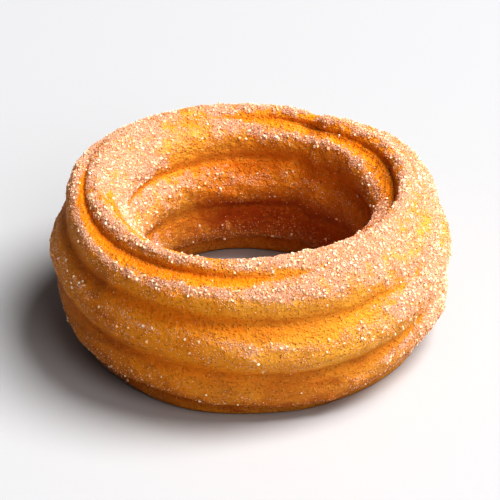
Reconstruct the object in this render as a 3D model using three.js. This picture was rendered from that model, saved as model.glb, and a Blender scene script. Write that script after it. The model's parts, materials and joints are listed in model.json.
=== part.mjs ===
// A ring churro: a rope of dough piped through a star nozzle, closed into a tall plump ring and deep fried.
// Its ridges run round the ring and wander a little. They step sideways where the rope's two ends meet,
// and in some places two neighbours have run together and the groove between them is nearly gone.
// Units are millimetres, with +Z up. The ring rests on z = 0, with its box centred over the origin.

import * as THREE from "three";
import { ParametricGeometry } from "three/addons/geometries/ParametricGeometry.js";
import { mergeVertices } from "three/addons/utils/BufferGeometryUtils.js";

const TURN = 2 * Math.PI;
const DEGREE = Math.PI / 180;

// Driving sizes of the ring, over its ridges
const OUTER_DIAMETER = 75;
const HOLE_DIAMETER = 40.8;
const ROPE_HEIGHT = 32.4;
const SETTLED_DEPTH = 1.2; // how much of the underside is pressed flat by its own weight

// The star of the nozzle, as it has puffed up in the oil. An angle in the rope's section is measured
// from its outward side, up over its top and round to the hole. An angle round the ring is measured
// from +X towards +Y.
const RIDGES = 9;
const GROOVE_DEPTH = 1.8;
const GROOVE_SHARPNESS = 1.15; // 1 gives half-round ridges, and more makes them narrower
const FIRST_RIDGE = 53 * DEGREE; // the outer ridge of the top

// Where the rope's ends meet
const SEAM_ANGLE = 63 * DEGREE;
const SEAM_WIDTH = 4.5;
const SEAM_CREASE = 0.9;
const SEAM_CREASE_IN_HOLE = 0.4; // the share of its depth that the crease keeps inside the ring
const SEAM_STEP = 5 * DEGREE; // how far the ridges of the two ends miss each other
const ROPE_SWELL = 0.03; // how much thicker the rope ends than it starts

// Where the rope's outer side has slumped a little: round the ring, and how far down in its section
const SLUMP = { angle: -75 * DEGREE, reach: 45 * DEGREE, turn: -12.5 * DEGREE };

// Where two ridges have run together: round the ring, and the groove between them in the section
const RUN_TOGETHER = [
  { angle: 148 * DEGREE, reach: 62 * DEGREE, groove: 113 * DEGREE, share: 0.85 },
  { angle: 140 * DEGREE, reach: 36 * DEGREE, groove: 73 * DEGREE, share: 0.8 },
  { angle: -28 * DEGREE, reach: 48 * DEGREE, groove: 73 * DEGREE, share: 0.85 },
  { angle: -15 * DEGREE, reach: 42 * DEGREE, groove: 33 * DEGREE, share: 0.6 },
];
const RUN_TOGETHER_HALF_WIDTH = 26 * DEGREE;

// Unevenness of hand piping
const SEED = 20;
const OVAL_SIZE = 0.35;
const THICKNESS_SIZE = 0.28;
const LIFT_SIZE = 0.45; // how far its top rises and falls
const RIDGE_HEIGHT_SHARE = 0.2;
const RIDGE_WANDER = 3.5 * DEGREE;

// Steps of the surface
const STEPS_PER_RIDGE = 6;
const STEPS_ROUND_RING = 88;
const SEAM_CROWDING = 0.45; // steps near the seam are shorter by this share
const SAME_POINT = 1e-3; // points nearer than this are one

const HALF_ACROSS = (OUTER_DIAMETER - HOLE_DIAMETER) / 4;
const HALF_UP = ROPE_HEIGHT / 2;
const CENTRE_RADIUS = (OUTER_DIAMETER + HOLE_DIAMETER) / 4;
const SEAM_HALF_TURN = SEAM_WIDTH / 2 / CENTRE_RADIUS / TURN;

// A stream of numbers from 0 to 1 that is the same on each run
function seededStream(seed) {
  let state = seed;
  return () => {
    state = (state * 1664525 + 1013904223) % 4294967296;
    return state / 4294967296;
  };
}

// A smooth wobble round the ring, about -1 to 1, made of one sine for each number of waves
function wobble(random, waveCounts) {
  const waves = waveCounts.map((count) => ({ count, phase: TURN * random() }));
  const scale = 1 / Math.sqrt(waves.length);
  return (angle) =>
    scale * waves.reduce((sum, { count, phase }) => sum + Math.sin(count * angle + phase), 0);
}

const random = seededStream(SEED);
const ovalness = wobble(random, [2, 3]);
const thicknessAcross = wobble(random, [2, 3, 4]);
const thicknessUp = wobble(random, [2, 3, 5]);
const lift = wobble(random, [1, 2, 3]);
const ridges = Array.from({ length: RIDGES }, () => ({
  height: wobble(random, [1, 3, 5, 8]),
  wander: wobble(random, [1, 3, 5]),
}));

function smoothStep(low, high, value) {
  const share = THREE.MathUtils.clamp((value - low) / (high - low), 0, 1);
  return share * share * (3 - 2 * share);
}

// How far along the rope a place is, from -1/2 at its start to 1/2 at its end, at a share of a turn
// from the seam. It goes back quickly from end to start in the seam itself.
function alongRope(turn) {
  const half = SEAM_HALF_TURN;
  return turn + 0.5 - smoothStep(-half, half, turn) - smoothStep(1 - half, 1 + half, turn);
}

// How deep the crease is, from 0 away from the seam to 1 in it
function creaseAt(turn) {
  return 1 - smoothStep(0, 2 * SEAM_HALF_TURN, Math.min(turn, 1 - turn));
}

// A hump that is 1 at its middle and falls to about a third at its reach, for an angle from its middle
function near(turned, reach) {
  return Math.exp(-((Math.sin(turned / 2) / Math.sin(reach / 2)) ** 2));
}

// How much of a groove is filled at a place of the surface, from 0 to 1
function filledAt(angle, section) {
  const fills = RUN_TOGETHER.map(
    (place) =>
      place.share *
      near(angle - place.angle, place.reach) *
      near(section - place.groove, RUN_TOGETHER_HALF_WIDTH),
  );
  return Math.max(...fills);
}

// The point of the surface at a share of a turn round the ring, from the seam, and round the rope's section
function surfacePoint(ringShare, sectionShare, target) {
  const turn = ringShare - (SEAM_CROWDING / TURN) * Math.sin(TURN * ringShare);
  const angle = SEAM_ANGLE + TURN * turn;
  const along = alongRope(turn);

  const alongRidges = sectionShare * RIDGES;
  const nearest = Math.round(alongRidges);
  const ridge = ridges[nearest % RIDGES];
  const crest = Math.cos(Math.PI * (alongRidges - nearest)) ** GROOVE_SHARPNESS;
  const twisted = FIRST_RIDGE + TURN * sectionShare + SEAM_STEP * along;
  const slumped = SLUMP.turn * near(angle - SLUMP.angle, SLUMP.reach) * (0.5 + 0.5 * Math.cos(twisted));
  const section = twisted + slumped + RIDGE_WANDER * crest * ridge.wander(angle);

  const uneven = 1 + RIDGE_HEIGHT_SHARE * ridge.height(angle);
  const filled = THREE.MathUtils.lerp(crest * uneven, 1, filledAt(angle, section));
  const outside = 0.5 + 0.5 * Math.cos(section - FIRST_RIDGE);
  const creased = SEAM_CREASE * creaseAt(turn) * THREE.MathUtils.lerp(SEAM_CREASE_IN_HOLE, 1, outside);
  const rise = GROOVE_DEPTH * (filled - 1) - creased;

  const swell = 1 + ROPE_SWELL * along;
  const across = HALF_ACROSS * swell + THICKNESS_SIZE * thicknessAcross(angle);
  const up = HALF_UP * swell + THICKNESS_SIZE * thicknessUp(angle);
  const outwards = new THREE.Vector2(Math.cos(section) / across, Math.sin(section) / up).normalize();
  const middle = CENTRE_RADIUS + OVAL_SIZE * ovalness(angle);
  const radius = middle + across * Math.cos(section) + rise * outwards.x;
  const lifted = LIFT_SIZE * lift(angle) * (0.5 + 0.5 * Math.sin(section));
  const height = up * Math.sin(section) + lifted + rise * outwards.y;
  return target.set(radius * Math.cos(angle), radius * Math.sin(angle), height);
}

// Lowers the ring onto z = 0, presses its underside flat there, and centres it
function settle(geometry) {
  geometry.computeBoundingBox();
  const { min, max } = geometry.boundingBox;
  geometry.translate(-(min.x + max.x) / 2, -(min.y + max.y) / 2, -min.z - SETTLED_DEPTH);
  const position = geometry.attributes.position;
  for (let i = 0; i < position.count; i++) position.setZ(i, Math.max(0, position.getZ(i)));
  return geometry;
}

function churroGeometry() {
  const sheet = new ParametricGeometry(surfacePoint, STEPS_ROUND_RING, RIDGES * STEPS_PER_RIDGE);
  sheet.deleteAttribute("normal");
  sheet.deleteAttribute("uv");
  const closed = settle(mergeVertices(sheet, SAME_POINT));
  closed.computeVertexNormals();
  return closed;
}

const friedDough = new THREE.MeshStandardMaterial({ color: 0xd6862f, roughness: 0.6, metalness: 0 });

const churro = new THREE.Mesh(churroGeometry(), friedDough);
churro.name = "churro";

const part = new THREE.Group();
part.add(churro);

export default part;
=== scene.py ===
"""Dresses a ring churro: fried dough with soft piped ridges, dusted with sugar and cinnamon.

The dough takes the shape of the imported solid, made smooth and given the lumps, rough grain and blisters
of a fried crust. Grains of sugar and cinnamon are then scattered over it, most of them along its ridges
and on its top. One function says where the sugar lies, for the powder's colour and for the grains alike.
Sizes are in metres and +Z is up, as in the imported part.
"""

import json
import math

import bpy
from bpy.props import FloatProperty, FloatVectorProperty, IntProperty, PointerProperty
from mathutils import Matrix, Vector

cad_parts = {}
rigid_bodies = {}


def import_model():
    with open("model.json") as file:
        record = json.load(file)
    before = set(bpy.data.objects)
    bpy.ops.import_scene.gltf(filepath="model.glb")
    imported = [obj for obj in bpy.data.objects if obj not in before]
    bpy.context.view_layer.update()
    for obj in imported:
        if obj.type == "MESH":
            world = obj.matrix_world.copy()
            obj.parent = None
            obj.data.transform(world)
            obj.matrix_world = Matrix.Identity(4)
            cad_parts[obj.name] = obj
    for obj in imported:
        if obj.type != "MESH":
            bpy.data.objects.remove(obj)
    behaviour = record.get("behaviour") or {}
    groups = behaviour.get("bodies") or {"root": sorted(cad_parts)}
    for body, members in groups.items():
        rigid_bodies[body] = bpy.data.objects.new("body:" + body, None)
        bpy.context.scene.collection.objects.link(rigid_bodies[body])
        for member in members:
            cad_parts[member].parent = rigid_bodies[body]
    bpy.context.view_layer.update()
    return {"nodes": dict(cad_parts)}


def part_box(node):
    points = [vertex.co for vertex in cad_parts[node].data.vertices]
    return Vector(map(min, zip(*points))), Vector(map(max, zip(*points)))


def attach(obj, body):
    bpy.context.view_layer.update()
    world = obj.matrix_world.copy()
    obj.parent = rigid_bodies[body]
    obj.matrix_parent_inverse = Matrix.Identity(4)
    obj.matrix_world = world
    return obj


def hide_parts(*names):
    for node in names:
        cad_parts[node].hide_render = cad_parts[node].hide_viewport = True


bl_info = {
    "name": "Ring Churro",
    "version": (1, 0, 0),
    "blender": (4, 5, 0),
    "location": "View3D > Sidebar > Churro",
    "description": "Dresses a ring churro with a fried crust, sugar and cinnamon",
    "category": "Mesh",
}

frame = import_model()

MILLIMETRE = 0.001
NODE = "churro"
DOUGH = "fried_dough"
PROUD = "proud"  # the dough's attribute that says how far it stands out of its smoothed form, in mm
TINT = "tint"  # the grains' attribute that says where each stands between its two colours
MOST_TRIANGLES = 200_000
MERGE_DISTANCE = 0.01 * MILLIMETRE
SMOOTHING = 170  # steps that spread a place over about one ridge
GROOVE_BEND = math.radians(34)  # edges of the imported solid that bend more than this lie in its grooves
GRAIN_RAISED = 0.2  # how far a grain's middle stands off the dough, as a share of its width

SUGAR_FROM = (0.25, -0.02, 0.97)  # the side that the sugar was thrown from, mostly above
PAINTED_LIGHT_SIDE = (0.78, -0.6, 0.15)  # the side, to the right and in front, that the light comes from: the crust is painted paler towards it, as painted light, and browner away from it, as painted shade
SEAM_ANGLE = math.radians(48)  # round the ring from +X, where the dough has spread beside its seam

KEY_OFFSET = (1.22, 0.1, 2.05)  # from the ring's middle to the key light, high on the right
FILL_OFFSET = (0.95, -1.6, 1.5)  # and to the fill light, in front on the right
LIGHT_WIDTH = 1.6
FLOOR_WIDTH = 6
NEAREST_SEEN = 0.05
PICTURE_GAMMA = 0.78  # under 1, so that the middle tones come out darker

LOWEST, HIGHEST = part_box(NODE)
REACHES = [math.hypot(v.co.x, v.co.y) for v in frame["nodes"][NODE].data.vertices]
ROPE_MIDDLE = (min(REACHES) + max(REACHES)) / 2  # the radius of the rope's middle line
RING_WIDTH = HIGHEST.x - LOWEST.x
RING_HEIGHT = HIGHEST.z


def tone(red, green, blue):
    """A colour named by its values on screen, from 0 to 255, as the shaders take it."""

    def linear(value):
        share = value / 255
        return share / 12.92 if share <= 0.04045 else ((share + 0.055) / 1.055) ** 2.4

    return (linear(red), linear(green), linear(blue), 1.0)


def find_socket(sockets, key):
    """The socket in use that has that name, or that number."""
    if isinstance(key, int):
        return sockets[key]
    return next(s for s in sockets if s.name == key and s.enabled)


class Value:
    """A node's output in an expression. Arithmetic on it adds Math nodes to its tree."""

    def __init__(self, tree, socket):
        self.tree = tree
        self.socket = socket

    def math(self, operation, *numbers):
        return self.tree.value("ShaderNodeMath", {"operation": operation}, dict(enumerate(numbers)))

    def __add__(self, other):
        return self.math("ADD", self, other)

    def __sub__(self, other):
        return self.math("SUBTRACT", self, other)

    def __rsub__(self, other):
        return self.math("SUBTRACT", other, self)

    def __mul__(self, other):
        return self.math("MULTIPLY", self, other)

    def __truediv__(self, other):
        return self.math("DIVIDE", self, other)

    def __pow__(self, other):
        return self.math("POWER", self, other)

    __radd__ = __add__
    __rmul__ = __mul__

    def at_least(self, other):
        """The larger of the two."""
        return self.math("MAXIMUM", self, other)

    def between(self, low, high, start=0.0, end=1.0):
        """Goes smoothly from start to end as the value goes from low to high."""
        sockets = {"Value": self, "From Min": low, "From Max": high, "To Min": start, "To Max": end}
        return self.tree.value("ShaderNodeMapRange", {"interpolation_type": "SMOOTHSTEP"}, sockets)


class Tree:
    """The nodes of a material, a world or a modifier, added one by one from Python."""

    def __init__(self, nodes):
        self.nodes = nodes
        nodes.nodes.clear()

    def add(self, kind, settings=(), sockets=()):
        """Adds a node with its settings, and then with the values or links of its sockets."""
        node = self.nodes.nodes.new(kind)
        for name, setting in dict(settings).items():
            setattr(node, name, setting)
        for key, value in dict(sockets).items():
            socket = find_socket(node.inputs, key)
            if isinstance(value, Value):
                self.nodes.links.new(value.socket, socket)
            else:
                socket.default_value = value
        return node

    def value(self, kind, settings=(), sockets=(), output=0):
        """Adds a node and gives one of its outputs."""
        node = self.add(kind, settings, sockets)
        return Value(self, find_socket(node.outputs, output))

    def parts(self, vector):
        """The three numbers of a vector."""
        node = self.add("ShaderNodeSeparateXYZ", (), {"Vector": vector})
        return [Value(self, socket) for socket in node.outputs]

    def vector(self, x, y, z):
        """A vector made of three numbers."""
        return self.value("ShaderNodeCombineXYZ", (), {"X": x, "Y": y, "Z": z})

    def dot(self, first, second):
        """How far one vector reaches along another of length 1."""
        settings = {"operation": "DOT_PRODUCT"}
        return self.value("ShaderNodeVectorMath", settings, {0: first, 1: second}, "Value")

    def times(self, vector, factor):
        """A vector made longer or shorter by that factor."""
        sockets = {"Vector": vector, "Scale": factor}
        return self.value("ShaderNodeVectorMath", {"operation": "SCALE"}, sockets)

    def mix(self, share, first, second):
        """Goes from the first colour to the second as share goes from 0 to 1."""
        sockets = {"Factor": share, "A": first, "B": second}
        return self.value("ShaderNodeMix", {"data_type": "RGBA"}, sockets, "Result")

    def noise(self, place, size, detail=2.0, roughness=0.5):
        """Noise from about 0 to 1 whose lumps are of that size."""
        sockets = {"Vector": place, "Scale": 1 / size, "Detail": detail, "Roughness": roughness}
        return self.value("ShaderNodeTexNoise", (), sockets)

    def streaks(self, place, size, stretch, detail=2.0, roughness=0.5):
        """Noise whose lumps are of that size across the rope, and longer along it by that many times."""
        x, y, z = self.parts(place)
        reach = (x * x + y * y) ** 0.5
        small_ring = ROPE_MIDDLE / stretch
        sockets = {
            "Vector": self.vector(reach, z, x / reach * small_ring),
            "W": y / reach * small_ring,
            "Scale": 1 / size,
            "Detail": detail,
            "Roughness": roughness,
        }
        return self.value("ShaderNodeTexNoise", {"noise_dimensions": "4D"}, sockets)

    def cells(self, place, size, output):
        """Scattered cells of that size, as the distance from their middles or a colour for each."""
        sockets = {"Vector": place, "Scale": 1 / size, "Randomness": 1.0}
        return self.value("ShaderNodeTexVoronoi", {"feature": "F1"}, sockets, output)


class DoughSettings(bpy.types.PropertyGroup):
    groove_crease: FloatProperty(
        name="Groove Crease",
        description="How sharp the bottoms of the grooves stay as the dough is made smooth",
        default=0.4,
        min=0,
        max=1,
        subtype="FACTOR",
    )
    lump_height: FloatProperty(
        name="Lump Height",
        description="How far the crust's soft lumps rise",
        default=0.45 * MILLIMETRE,
        precision=5,
        unit="LENGTH",
    )
    lump_size: FloatProperty(
        name="Lump Size",
        description="How wide the crust's soft lumps are",
        default=6 * MILLIMETRE,
        precision=5,
        unit="LENGTH",
    )
    grain_height: FloatProperty(
        name="Grain Height",
        description="How far the rough grain of the ridges rises",
        default=0.5 * MILLIMETRE,
        precision=5,
        unit="LENGTH",
    )
    grain_size: FloatProperty(
        name="Grain Size",
        description="How wide the rough grain of the ridges is",
        default=2.2 * MILLIMETRE,
        precision=5,
        unit="LENGTH",
    )
    blister_height: FloatProperty(
        name="Blister Height",
        description="How far the blisters left by the hot oil rise",
        default=0.35 * MILLIMETRE,
        precision=5,
        unit="LENGTH",
    )
    blister_spacing: FloatProperty(
        name="Blister Spacing",
        description="How far apart blisters may stand",
        default=5 * MILLIMETRE,
        precision=5,
        unit="LENGTH",
    )
    crease_depth: FloatProperty(
        name="Crease Depth",
        description="How much deeper the narrow bottoms of the grooves are cut",
        default=0.2 * MILLIMETRE,
        precision=5,
        unit="LENGTH",
    )
    seam_spread: FloatProperty(
        name="Seam Spread",
        description="The share of a groove's depth that is filled on top, beside the seam",
        default=0.6,
        min=0,
        max=1,
        subtype="FACTOR",
    )
    gold: FloatVectorProperty(
        name="Gold",
        description="The crust's main colour",
        default=tone(252, 164, 34),
        size=4,
        min=0,
        max=1,
        subtype="COLOR",
    )
    amber: FloatVectorProperty(
        name="Amber",
        description="The smooth, oily colour of the grooves",
        default=tone(244, 144, 18),
        size=4,
        min=0,
        max=1,
        subtype="COLOR",
    )
    # painted light: the paler colour painted on the side of the crust that faces the light
    painted_light_straw: FloatVectorProperty(
        name="Straw",
        description="The crust's colour where the oil browned it least",
        default=tone(253, 188, 82),
        size=4,
        min=0,
        max=1,
        subtype="COLOR",
    )
    # fried browning and pores, and also painted shade: the brown painted in the groove bottoms, towards the
    # bottom of the ring and on the side away from the light
    brown_and_painted_shade: FloatVectorProperty(
        name="Brown",
        description="Where the crust has fried darkest",
        default=tone(188, 96, 16),
        size=4,
        min=0,
        max=1,
        subtype="COLOR",
    )
    # painted shade: the dark brown painted low down inside the ring and in its inner hollows, where it
    # faces away from the light
    painted_shade_brown: FloatVectorProperty(
        name="Deep Brown",
        description="The crust's colour low down inside the ring",
        default=tone(176, 66, 10),
        size=4,
        min=0,
        max=1,
        subtype="COLOR",
    )
    blister: FloatVectorProperty(
        name="Blister",
        description="The palest specks of the crust",
        default=tone(255, 186, 72),
        size=4,
        min=0,
        max=1,
        subtype="COLOR",
    )
    powder: FloatVectorProperty(
        name="Powder",
        description="The fine sugar that clings to the ridges",
        default=tone(238, 204, 183),
        size=4,
        min=0,
        max=1,
        subtype="COLOR",
    )
    cinnamon_dust: FloatVectorProperty(
        name="Cinnamon Dust",
        description="The fine cinnamon between the sugar",
        default=tone(225, 164, 122),
        size=4,
        min=0,
        max=1,
        subtype="COLOR",
    )


class GrainSettings(bpy.types.PropertyGroup):
    """One kind of grain that is scattered over the dough."""

    smallest: FloatProperty(
        name="Smallest",
        description="The width of the smallest grain",
        default=0.13 * MILLIMETRE,
        precision=5,
        unit="LENGTH",
    )
    largest: FloatProperty(
        name="Largest",
        description="The width of the largest grain",
        default=0.26 * MILLIMETRE,
        precision=5,
        unit="LENGTH",
    )
    crowding: FloatProperty(
        name="Crowding",
        description="How many grains lie on a square millimetre where they lie thickest",
        default=19.0,
        min=0,
    )
    light: FloatVectorProperty(
        name="Light Colour",
        description="The colour of the palest grain",
        default=tone(252, 224, 206),
        size=4,
        min=0,
        max=1,
        subtype="COLOR",
    )
    dark: FloatVectorProperty(
        name="Dark Colour",
        description="The colour of the darkest grain",
        default=tone(238, 188, 154),
        size=4,
        min=0,
        max=1,
        subtype="COLOR",
    )
    seed: IntProperty(name="Seed", description="Picks one of many ways to scatter the grains", default=1)


class StageSettings(bpy.types.PropertyGroup):
    camera_height: FloatProperty(
        name="Camera Elevation",
        description="How steeply the camera looks down",
        default=math.radians(32),
        subtype="ANGLE",
    )
    camera_distance: FloatProperty(
        name="Camera Distance",
        description="How far the camera is from the ring's middle",
        default=0.77,
        unit="LENGTH",
    )
    fill_of_frame: FloatProperty(
        name="Fill",
        description="The share of the picture's width that the ring takes",
        default=0.8,
        min=0.1,
        max=1,
        subtype="FACTOR",
    )
    key_power: FloatProperty(
        name="Key Light",
        description="The power of the large soft light on the right, in watts",
        default=108.0,
        min=0,
        unit="POWER",
    )
    fill_power: FloatProperty(
        name="Fill Light",
        description="The power of the weaker light in front on the right, in watts",
        default=28.0,
        min=0,
        unit="POWER",
    )
    surroundings: FloatProperty(
        name="Surroundings",
        description="How bright the pale surroundings are",
        default=0.15,
        min=0,
    )
    floor_colour: FloatVectorProperty(
        name="Floor",
        description="The colour of the floor",
        default=tone(188, 188, 189),
        size=4,
        min=0,
        max=1,
        subtype="COLOR",
    )


def deselect():
    """Selects nothing."""
    bpy.ops.object.select_all(action="DESELECT")


def only(piece):
    """Selects that object alone."""
    deselect()
    piece.select_set(True)
    bpy.context.view_layer.objects.active = piece


def copy_of(source, name):
    """A copy of an object, with its own mesh and free of what the source rides on."""
    hidden = source.hide_viewport
    source.hide_viewport = False
    only(source)
    bpy.ops.object.duplicate()
    copy = bpy.context.object
    source.hide_viewport = hidden
    bpy.ops.object.parent_clear(type="CLEAR_KEEP_TRANSFORM")
    copy.name = name
    copy.data.name = name
    for key in [key for key in copy.keys() if key.startswith("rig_")]:
        del copy[key]
    copy.data.materials.clear()
    return copy


def give_material(piece, material):
    """Makes that material the piece's only one."""
    piece.data.materials.clear()
    piece.data.materials.append(material)


def new_material(name):
    """A new material and the tree of its nodes."""
    material = bpy.data.materials.new(name)
    material.use_nodes = True
    return material, Tree(material.node_tree)


def new_modifier_tree(name):
    """A Geometry Nodes tree that takes a mesh and gives one."""
    group = bpy.data.node_groups.new(name, "GeometryNodeTree")
    group.interface.new_socket("Mesh", in_out="INPUT", socket_type="NodeSocketGeometry")
    group.interface.new_socket("Mesh", in_out="OUTPUT", socket_type="NodeSocketGeometry")
    tree = Tree(group)
    return group, tree, tree.value("NodeGroupInput")


def apply_nodes(piece, group):
    """Runs a Geometry Nodes tree on the piece's mesh for good."""
    only(piece)
    bpy.ops.object.modifier_add(type="NODES")
    modifier = piece.modifiers[-1]
    modifier.node_group = group
    bpy.ops.object.modifier_apply(modifier=modifier.name)
    bpy.data.node_groups.remove(group)


def check_triangles(piece):
    """Stops the script if a piece has more triangles than MOST_TRIANGLES."""
    triangles = sum(len(face.vertices) - 2 for face in piece.data.polygons)
    print(piece.name, triangles, "triangles")
    if triangles > MOST_TRIANGLES:
        raise RuntimeError(f"{piece.name} has {triangles} triangles, which is too many")


def ring_place(tree, place):
    """How far a place is from the rope's middle line, towards the outside, and its height."""
    x, y, z = tree.parts(place)
    return (x * x + y * y) ** 0.5 - ROPE_MIDDLE, z


def sugar_cover(tree, place, proud, normal):
    """How thickly the sugar lies, from about 0 in a groove to 1 on a ridge that faced the sugar.

    The top has more of it on its back left and front right quarters, and over its outer edge on the
    right, where it fills the grooves too.
    """
    x, y = tree.parts(place)[:2]
    outward = ring_place(tree, place)[0]
    facing = tree.dot(normal, SUGAR_FROM)
    # more sugar where the surface faces right, towards +X
    facing_right = tree.parts(normal)[0].between(0.5, 1.0)
    quarters = (x * y / (x * x + y * y)).between(-0.25, 0.25, 0.5, -0.3)
    outer_edge = outward.between(0.5 * MILLIMETRE, 2.5 * MILLIMETRE)
    right_edge = outer_edge * x.between(5 * MILLIMETRE, 20 * MILLIMETRE)
    heaped = facing.between(0.5, 0.9) * (quarters + right_edge * 0.7)
    ragged = tree.noise(place, 2.2 * MILLIMETRE, 3.0, 0.7) - 0.5
    ridge = (proud + facing_right * 0.7 + heaped + ragged * 1.6).between(-0.2, 0.35, 0.02, 1)
    top = (facing + facing_right * 0.5).between(0.15, 0.75, 0.08, 1)
    outside = outward.between(-9 * MILLIMETRE, -5 * MILLIMETRE, 0.35, 1.0)
    long_patches = tree.streaks(place, 9 * MILLIMETRE, 2.0).between(0.34, 0.56, 0.25, 1)
    small_patches = tree.noise(place, 3 * MILLIMETRE, 3.0, 0.65).between(0.36, 0.56, 0.3, 1)
    return ridge * top * outside * long_patches * small_patches


def spread_out(tree, value, kind):
    """A value of the mesh, made smooth by mixing each point's with its neighbours' many times."""
    sockets = {"Value": value, "Iterations": SMOOTHING}
    return tree.value("GeometryNodeBlurAttribute", {"data_type": kind}, sockets)


def stored(tree, mesh, name, value):
    """The mesh or the points with a number kept for each point under that name."""
    settings = {"data_type": "FLOAT", "domain": "POINT"}
    sockets = {"Geometry": mesh, "Name": name, "Value": value}
    return tree.value("GeometryNodeStoreNamedAttribute", settings, sockets)


def mark_ridges(tree, mesh, place, normal):
    """Keeps how far each point stands out of the smoothed form, and gives the mesh and that number."""
    smoothed = spread_out(tree, place, "FLOAT_VECTOR")
    apart = tree.value("ShaderNodeVectorMath", {"operation": "SUBTRACT"}, {0: place, 1: smoothed})
    out = tree.dot(apart, normal)
    usual = spread_out(tree, out, "FLOAT")
    marked = stored(tree, mesh, PROUD, (out - usual) / MILLIMETRE)
    return marked, tree.value("GeometryNodeInputNamedAttribute", {"data_type": "FLOAT"}, {"Name": PROUD})


def crust_relief(settings):
    """The tree that marks the ridges and gives the smooth dough its lumps, rough grain and blisters."""
    group, tree, mesh = new_modifier_tree("crust_relief")
    place = tree.value("GeometryNodeInputPosition")
    normal = tree.value("GeometryNodeInputNormal")
    marked, proud = mark_ridges(tree, mesh, place, normal)
    ridge = proud.between(-0.6, 0.5)
    roughened = ridge.between(0, 1, 0.5, 1)

    broad = tree.noise(place, settings.lump_size, 1.0)
    lengthwise = tree.streaks(place, 2.6 * MILLIMETRE, 5.0)
    lumps = (broad + lengthwise) * 0.5 - 0.5
    grain = tree.noise(place, settings.grain_size, 2.0, 0.6) - 0.5
    distance = tree.cells(place, settings.blister_spacing, "Distance")
    which = tree.parts(tree.cells(place, settings.blister_spacing, "Color"))[0]
    blister = (1 - distance.between(0.05, 0.3)) * which.between(0.62, 0.7)

    x, y, height = tree.parts(place)
    along_seam = x * math.cos(SEAM_ANGLE) + y * math.sin(SEAM_ANGLE)
    beside_seam = (along_seam / (x * x + y * y) ** 0.5).between(0.5, 0.95)
    spread = beside_seam * tree.parts(normal)[2].between(0.3, 0.8)
    crease = 1 - proud.between(-0.85, -0.3)
    hollow = (0 - proud).at_least(0.0)

    rise = (
        lumps * (2 * settings.lump_height) * roughened
        + grain * (2 * settings.grain_height) * roughened
        + blister * settings.blister_height * ridge
        - crease * (1 - spread) * settings.crease_depth
        + hollow * spread * (settings.seam_spread * MILLIMETRE)
    )
    rise = rise * height.between(0, 2 * MILLIMETRE)
    offset = tree.times(normal, rise)
    moved = tree.value("GeometryNodeSetPosition", (), {"Geometry": marked, "Offset": offset})
    x, y, z = tree.parts(tree.value("GeometryNodeInputPosition"))
    above_floor = tree.vector(x, y, z.at_least(0.0))
    kept_up = tree.value("GeometryNodeSetPosition", (), {"Geometry": moved, "Position": above_floor})
    tree.add("NodeGroupOutput", (), {0: kept_up})
    return group


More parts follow.
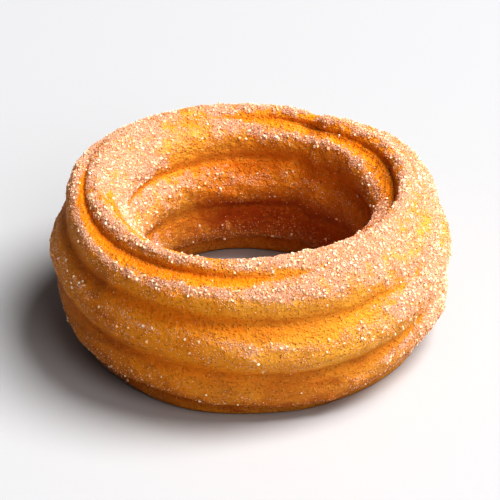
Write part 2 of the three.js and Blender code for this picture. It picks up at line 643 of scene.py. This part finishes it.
def dough_material(settings):
    """The fried crust: golden ridges and amber grooves, dusted with powder, with painted shade in the
    groove bottoms, low down, inside the ring and on the side away from the light, and painted light on the
    side that faces it.
    """
    material, tree = new_material("fried_dough")
    place = tree.value("ShaderNodeTexCoord", output="Object")
    proud = tree.value("ShaderNodeAttribute", {"attribute_name": PROUD}, output="Fac")
    outward, height = ring_place(tree, place)
    normal = tree.value("ShaderNodeNewGeometry", output="Normal")
    cover = sugar_cover(tree, place, proud, normal)

    broad = tree.noise(place, 13 * MILLIMETRE, 2.0)
    mottle = tree.noise(place, 3.2 * MILLIMETRE, 3.0, 0.65)
    piping = tree.streaks(place, 1.1 * MILLIMETRE, 6.0, 2.0, 0.6)
    speck = tree.noise(place, 0.8 * MILLIMETRE, 3.0, 0.7)
    fine = tree.noise(place, 0.3 * MILLIMETRE, 2.0, 0.7)
    grit = tree.noise(place, 0.45 * MILLIMETRE, 2.0, 0.8)
    pore = tree.cells(place, 0.7 * MILLIMETRE, "Distance").between(0.08, 0.3)

    ridge = proud.between(-0.75, 0.4)
    uneven = (mottle - 0.5) * 1.5 + (piping - 0.5) * 0.7
    crust = tree.mix((ridge + uneven).between(0.05, 0.95), tuple(settings.amber), tuple(settings.gold))

    inside = 1 - outward.between(-8 * MILLIMETRE, -4 * MILLIMETRE)
    shaded = inside * (1 - tree.parts(normal)[0].between(-0.1, 0.85))
    # painted light: the crust is painted paler, in the straw colour, on the side that faces the light,
    # except where the inside of the ring is shaded
    towards_painted_light = tree.dot(normal, PAINTED_LIGHT_SIDE)
    pale = towards_painted_light.between(0.2, 0.9) * (1 - shaded)
    crust = tree.mix(pale * (0.15 + mottle * 0.6 + ridge * 0.4), crust, tuple(settings.painted_light_straw))

    # painted shade: browner in the narrow bottoms of the grooves (crease) and towards the bottom of the
    # ring (low), where shade falls
    crease = (1 - proud.between(-0.95, -0.55)) * 0.1
    low = (1 - height.between(0.05 * RING_HEIGHT, 0.55 * RING_HEIGHT)) * 0.5
    # painted shade: inside the ring, where it faces away from the light, the crust is painted dark brown
    # low down and in its hollows
    hollow = 1 - proud.between(-0.5, 0.6)
    painted_inner_shade = shaded * (1 - height.between(0.25 * RING_HEIGHT, 0.7 * RING_HEIGHT) + hollow * 0.7)
    streaks = tree.streaks(place, 3.5 * MILLIMETRE, 3.0, 3.0, 0.6)
    browning_and_painted_shade = broad.between(0.48, 0.72) * 0.25 + streaks.between(0.48, 0.68) * 0.3
    # painted shade: on top of the random fried browning, the crust is also painted browner on the side away
    # from the light
    browning_and_painted_shade = browning_and_painted_shade + mottle.between(0.5, 0.7) * 0.15 + towards_painted_light.between(-0.4, 0.45, 0.3, 0.0)
    crust = tree.mix((crease + low + browning_and_painted_shade).between(0, 1.1), crust, tuple(settings.brown_and_painted_shade))
    crust = tree.mix(painted_inner_shade * 0.9, crust, tuple(settings.painted_shade_brown))
    crust = tree.mix((1 - pore) * speck.between(0.4, 0.6) * 0.7, crust, tuple(settings.brown_and_painted_shade))
    crust = tree.mix(speck.between(0.54, 0.7) * 0.45, crust, tuple(settings.blister))

    patchy = (mottle * 0.3 + speck * 0.35 + fine * 0.35 + cover * 0.2).between(0.4, 0.54)
    dusted = cover.between(0, 0.8) * patchy
    dust = tree.mix(grit.between(0.4, 0.6), tuple(settings.cinnamon_dust), tuple(settings.powder))
    crust = tree.mix(dusted * 0.9, crust, dust)

    bumps = (mottle * 0.5 + speck * 0.7 + fine * 0.3 + pore * 0.35 + piping * 0.3) * MILLIMETRE
    bump = tree.value("ShaderNodeBump", (), {"Strength": 1.0, "Distance": 1.0, "Height": bumps})
    roughness = 0.5 + (speck - 0.5) * 0.5 + dusted * 0.3

    shader = tree.value(
        "ShaderNodeBsdfPrincipled",
        (),
        {
            "Base Color": crust,
            "Roughness": roughness,
            "Normal": bump,
            "Subsurface Weight": 0.2,
            "Subsurface Radius": (1.0, 0.4, 0.12),
            "Subsurface Scale": 2 * MILLIMETRE,
            "Specular IOR Level": 0.14,
        },
    )
    tree.add("ShaderNodeOutputMaterial", (), {"Surface": shader})
    return material


def merge_and_crease(crease):
    """Joins the active mesh's loose triangles into quads, and creases the edges in its grooves."""
    bpy.ops.object.mode_set(mode="EDIT")
    bpy.ops.mesh.select_all(action="SELECT")
    bpy.ops.mesh.remove_doubles(threshold=MERGE_DISTANCE)
    bpy.ops.mesh.customdata_custom_splitnormals_clear()
    bpy.ops.mesh.tris_convert_to_quads(face_threshold=math.pi, shape_threshold=math.pi)
    bpy.ops.mesh.select_all(action="DESELECT")
    bpy.ops.mesh.select_mode(type="EDGE")
    bpy.ops.mesh.edges_select_sharp(sharpness=GROOVE_BEND)
    bpy.ops.transform.edge_crease(value=crease)
    bpy.ops.object.mode_set(mode="OBJECT")


class CHURRO_OT_fry_dough(bpy.types.Operator):
    """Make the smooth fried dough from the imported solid"""

    bl_idname = "churro.fry_dough"
    bl_label = "Fry the Dough"

    def execute(self, context):
        settings = context.scene.churro_dough
        piece = copy_of(frame["nodes"][NODE], DOUGH)
        merge_and_crease(settings.groove_crease)
        bpy.ops.object.shade_smooth()
        bpy.ops.object.modifier_add(type="SUBSURF")
        smoother = piece.modifiers[-1]
        smoother.levels = 2
        smoother.render_levels = 2
        bpy.ops.object.modifier_apply(modifier=smoother.name)
        apply_nodes(piece, crust_relief(settings))
        give_material(piece, dough_material(settings))
        check_triangles(piece)
        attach(piece, "root")
        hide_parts(NODE)
        return {"FINISHED"}


def crystal(name):
    """A grain a metre wide, which the scattering makes small: a block with uneven sides."""
    deselect()
    bpy.ops.mesh.primitive_cube_add(size=1)
    grain = bpy.context.object
    bpy.ops.object.mode_set(mode="EDIT")
    bpy.ops.mesh.select_all(action="SELECT")
    bpy.ops.transform.resize(value=(1.0, 0.82, 0.66))
    bpy.ops.object.mode_set(mode="OBJECT")
    grain.name = name
    return grain


def speck(name):
    """A grain a metre wide, which the scattering makes small: a splinter of four faces."""
    deselect()
    bpy.ops.mesh.primitive_cone_add(vertices=3, radius1=0.6, depth=0.8)
    grain = bpy.context.object
    grain.name = name
    return grain


def flake(name):
    """A grain a metre wide, which the scattering makes small: eight faces, flatter than it is wide."""
    deselect()
    bpy.ops.mesh.primitive_uv_sphere_add(segments=4, ring_count=2, radius=0.5)
    grain = bpy.context.object
    bpy.ops.object.mode_set(mode="EDIT")
    bpy.ops.mesh.select_all(action="SELECT")
    bpy.ops.transform.resize(value=(1.0, 0.8, 0.6))
    bpy.ops.object.mode_set(mode="OBJECT")
    grain.name = name
    return grain


def scattering(settings, grain):
    """The tree that scatters copies of a grain over the dough, and leaves only them."""
    group, tree, mesh = new_modifier_tree("scattering")
    place = tree.value("GeometryNodeInputPosition")
    proud = tree.value("GeometryNodeInputNamedAttribute", {"data_type": "FLOAT"}, {"Name": PROUD})
    cover = sugar_cover(tree, place, proud, tree.value("GeometryNodeInputNormal"))
    above_floor = tree.parts(place)[2].between(1.2 * MILLIMETRE, 2.5 * MILLIMETRE)
    density = cover * above_floor * (settings.crowding / MILLIMETRE**2)

    scattered = tree.add(
        "GeometryNodeDistributePointsOnFaces",
        {"distribute_method": "RANDOM"},
        {"Mesh": mesh, "Density": density, "Seed": settings.seed},
    )
    points = Value(tree, scattered.outputs["Points"])
    normal = Value(tree, scattered.outputs["Normal"])
    size = tree.value(
        "FunctionNodeRandomValue",
        {"data_type": "FLOAT"},
        {"Min": settings.smallest, "Max": settings.largest, "Seed": settings.seed},
        "Value",
    )
    raised = tree.times(normal, size * GRAIN_RAISED)
    placed = tree.value("GeometryNodeSetPosition", (), {"Geometry": points, "Offset": raised})
    shade = tree.value(
        "FunctionNodeRandomValue", {"data_type": "FLOAT"}, {"Seed": settings.seed + 1}, "Value"
    )
    tinted = stored(tree, placed, TINT, shade)
    turn = tree.value(
        "FunctionNodeRandomValue",
        {"data_type": "FLOAT_VECTOR"},
        {"Max": (2 * math.pi,) * 3, "Seed": settings.seed + 2},
        "Value",
    )
    source = tree.value(
        "GeometryNodeObjectInfo", (), {"Object": grain, "As Instance": True}, "Geometry"
    )
    copies = tree.value(
        "GeometryNodeInstanceOnPoints",
        (),
        {"Points": tinted, "Instance": source, "Rotation": turn, "Scale": tree.vector(size, size, size)},
    )
    joined = tree.value("GeometryNodeRealizeInstances", (), {"Geometry": copies})
    tree.add("NodeGroupOutput", (), {0: joined})
    return group


def grain_material(name, settings, roughness):
    """The finish of one kind of grain, each grain somewhere between its two colours and a little cloudy."""
    material, tree = new_material(name)
    tint = tree.value("ShaderNodeAttribute", {"attribute_name": TINT}, output="Fac")
    place = tree.value("ShaderNodeTexCoord", output="Object")
    cloudy = tree.noise(place, 0.25 * MILLIMETRE, 2.0)
    share = (tint * 0.8 + cloudy * 0.4 - 0.1).between(0, 1)
    colour = tree.mix(share, tuple(settings.light), tuple(settings.dark))
    shader = tree.value(
        "ShaderNodeBsdfPrincipled",
        (),
        {"Base Color": colour, "Roughness": roughness, "Specular IOR Level": 0.3},
    )
    tree.add("ShaderNodeOutputMaterial", (), {"Surface": shader})
    return material


def scatter(name, settings, grain, roughness):
    """Scatters one kind of grain over the dough as a piece of its own."""
    piece = copy_of(bpy.data.objects[DOUGH], name)
    apply_nodes(piece, scattering(settings, grain))
    bpy.data.meshes.remove(grain.data)
    give_material(piece, grain_material(name, settings, roughness))
    check_triangles(piece)
    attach(piece, "root")


class CHURRO_OT_dust_fine_sugar(bpy.types.Operator):
    """Scatter fine sugar over the dough"""

    bl_idname = "churro.dust_fine_sugar"
    bl_label = "Dust with Fine Sugar"

    def execute(self, context):
        scatter("fine_sugar", context.scene.churro_fine_sugar, speck("splinter"), 0.5)
        return {"FINISHED"}


class CHURRO_OT_dust_coated_sugar(bpy.types.Operator):
    """Scatter fine sugar that cinnamon has turned tan"""

    bl_idname = "churro.dust_coated_sugar"
    bl_label = "Dust with Coated Sugar"

    def execute(self, context):
        scatter("coated_sugar", context.scene.churro_coated_sugar, speck("splinter"), 0.6)
        return {"FINISHED"}


class CHURRO_OT_sprinkle_sugar(bpy.types.Operator):
    """Scatter plain grains of sugar over the dough"""

    bl_idname = "churro.sprinkle_sugar"
    bl_label = "Sprinkle Sugar"

    def execute(self, context):
        scatter("sugar_grains", context.scene.churro_sugar, flake("flake"), 0.4)
        return {"FINISHED"}


class CHURRO_OT_sprinkle_crystals(bpy.types.Operator):
    """Scatter coarser sugar crystals over the dough"""

    bl_idname = "churro.sprinkle_crystals"
    bl_label = "Sprinkle Sugar Crystals"

    def execute(self, context):
        scatter("sugar_crystals", context.scene.churro_crystals, crystal("crystal"), 0.3)
        return {"FINISHED"}


class CHURRO_OT_dust_cinnamon(bpy.types.Operator):
    """Scatter specks of cinnamon over the dough"""

    bl_idname = "churro.dust_cinnamon"
    bl_label = "Dust with Cinnamon"

    def execute(self, context):
        scatter("cinnamon", context.scene.churro_cinnamon, speck("speck"), 0.8)
        return {"FINISHED"}


def add_floor(colour):
    """Adds a plain wide floor."""
    deselect()
    bpy.ops.mesh.primitive_plane_add(size=FLOOR_WIDTH)
    floor = bpy.context.object
    floor.name = "floor"
    material, tree = new_material("floor")
    sockets = {"Base Color": colour, "Roughness": 0.7, "Specular IOR Level": 0.2}
    shader = tree.value("ShaderNodeBsdfPrincipled", (), sockets)
    tree.add("ShaderNodeOutputMaterial", (), {"Surface": shader})
    give_material(floor, material)


def add_surroundings(brightness):
    """Lights the scene faintly from all sides."""
    world = bpy.data.worlds.new("pale_surroundings")
    world.use_nodes = True
    bpy.context.scene.world = world
    tree = Tree(world.node_tree)
    sky = {"Color": tone(248, 250, 252), "Strength": brightness}
    tree.add("ShaderNodeOutputWorld", (), {"Surface": tree.value("ShaderNodeBackground", (), sky)})


def add_light(name, middle, offset, power):
    """Adds a large soft round light that points at the ring's middle."""
    place = middle + Vector(offset)
    rotation = (middle - place).to_track_quat("-Z", "Y").to_euler()
    bpy.ops.object.light_add(type="AREA", location=place, rotation=rotation)
    light = bpy.context.object
    light.name = name
    light.data.shape = "DISK"
    light.data.size = LIGHT_WIDTH
    light.data.energy = power


def add_camera(middle, tilt, distance, fill_of_frame):
    """Adds the camera in front of the ring, looking down at its middle."""
    offset = Vector((0, -math.cos(tilt), math.sin(tilt))) * distance
    turn = Matrix.Rotation(math.pi / 2 - tilt, 4, "X")
    bpy.ops.object.camera_add(location=middle + offset, rotation=turn.to_euler())
    camera = bpy.context.object
    camera.name = "camera"
    camera.data.lens = camera.data.sensor_width * distance / (RING_WIDTH / fill_of_frame)
    camera.data.clip_start = NEAREST_SEEN
    bpy.context.scene.camera = camera


class CHURRO_OT_set_stage(bpy.types.Operator):
    """Set up the floor, the lights and the camera"""

    bl_idname = "churro.set_stage"
    bl_label = "Set the Stage"

    def execute(self, context):
        settings = context.scene.churro_stage
        middle = Vector((0, 0, RING_HEIGHT / 2))
        add_floor(tuple(settings.floor_colour))
        add_surroundings(settings.surroundings)
        add_light("key_light", middle, KEY_OFFSET, settings.key_power)
        add_light("fill_light", middle, FILL_OFFSET, settings.fill_power)
        add_camera(middle, settings.camera_height, settings.camera_distance, settings.fill_of_frame)
        context.scene.view_settings.view_transform = "Standard"
        context.scene.view_settings.gamma = PICTURE_GAMMA
        return {"FINISHED"}


class CHURRO_PT_panel(bpy.types.Panel):
    """The churro's steps, in the order they are taken"""

    bl_idname = "CHURRO_PT_panel"
    bl_label = "Ring Churro"
    bl_space_type = "VIEW_3D"
    bl_region_type = "UI"
    bl_category = "Churro"

    def draw(self, context):
        for step in STEPS:
            self.layout.operator(step)


STEPS = (
    "churro.fry_dough",
    "churro.dust_fine_sugar",
    "churro.dust_coated_sugar",
    "churro.sprinkle_sugar",
    "churro.sprinkle_crystals",
    "churro.dust_cinnamon",
    "churro.set_stage",
)

CLASSES = (
    DoughSettings,
    GrainSettings,
    StageSettings,
    CHURRO_OT_fry_dough,
    CHURRO_OT_dust_fine_sugar,
    CHURRO_OT_dust_coated_sugar,
    CHURRO_OT_sprinkle_sugar,
    CHURRO_OT_sprinkle_crystals,
    CHURRO_OT_dust_cinnamon,
    CHURRO_OT_set_stage,
    CHURRO_PT_panel,
)

SETTINGS = {
    "churro_dough": DoughSettings,
    "churro_fine_sugar": GrainSettings,
    "churro_coated_sugar": GrainSettings,
    "churro_sugar": GrainSettings,
    "churro_crystals": GrainSettings,
    "churro_cinnamon": GrainSettings,
    "churro_stage": StageSettings,
}


def register():
    """Adds the classes, and gives the scene a group of settings for each step."""
    for new_class in CLASSES:
        bpy.utils.register_class(new_class)
    for name, group in SETTINGS.items():
        setattr(bpy.types.Scene, name, PointerProperty(type=group))


def unregister():
    """Takes away what register added."""
    for name in SETTINGS:
        delattr(bpy.types.Scene, name)
    for old_class in reversed(CLASSES):
        bpy.utils.unregister_class(old_class)


def set_grains(scene):
    """Gives each kind of grain after the first its own sizes, amount and seed, and all but the plain sugar
    their own colours.
    """
    coated = scene.churro_coated_sugar
    coated.smallest = 0.14 * MILLIMETRE
    coated.largest = 0.28 * MILLIMETRE
    coated.crowding = 19
    coated.seed = 3
    coated.light = tone(248, 206, 168)
    coated.dark = tone(230, 162, 112)

    sugar = scene.churro_sugar
    sugar.smallest = 0.2 * MILLIMETRE
    sugar.largest = 0.36 * MILLIMETRE
    sugar.crowding = 5
    sugar.seed = 5

    crystals = scene.churro_crystals
    crystals.smallest = 0.3 * MILLIMETRE
    crystals.largest = 0.5 * MILLIMETRE
    crystals.crowding = 1.0
    crystals.seed = 11
    crystals.light = tone(255, 240, 214)
    crystals.dark = tone(250, 210, 158)

    cinnamon = scene.churro_cinnamon
    cinnamon.smallest = 0.1 * MILLIMETRE
    cinnamon.largest = 0.22 * MILLIMETRE
    cinnamon.crowding = 8
    cinnamon.seed = 21
    cinnamon.light = tone(196, 112, 50)
    cinnamon.dark = tone(146, 74, 30)


def main():
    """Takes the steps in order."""
    register()
    set_grains(bpy.context.scene)
    for step in STEPS:
        group, name = step.split(".")
        getattr(getattr(bpy.ops, group), name)()


if __name__ == "__main__":
    main()
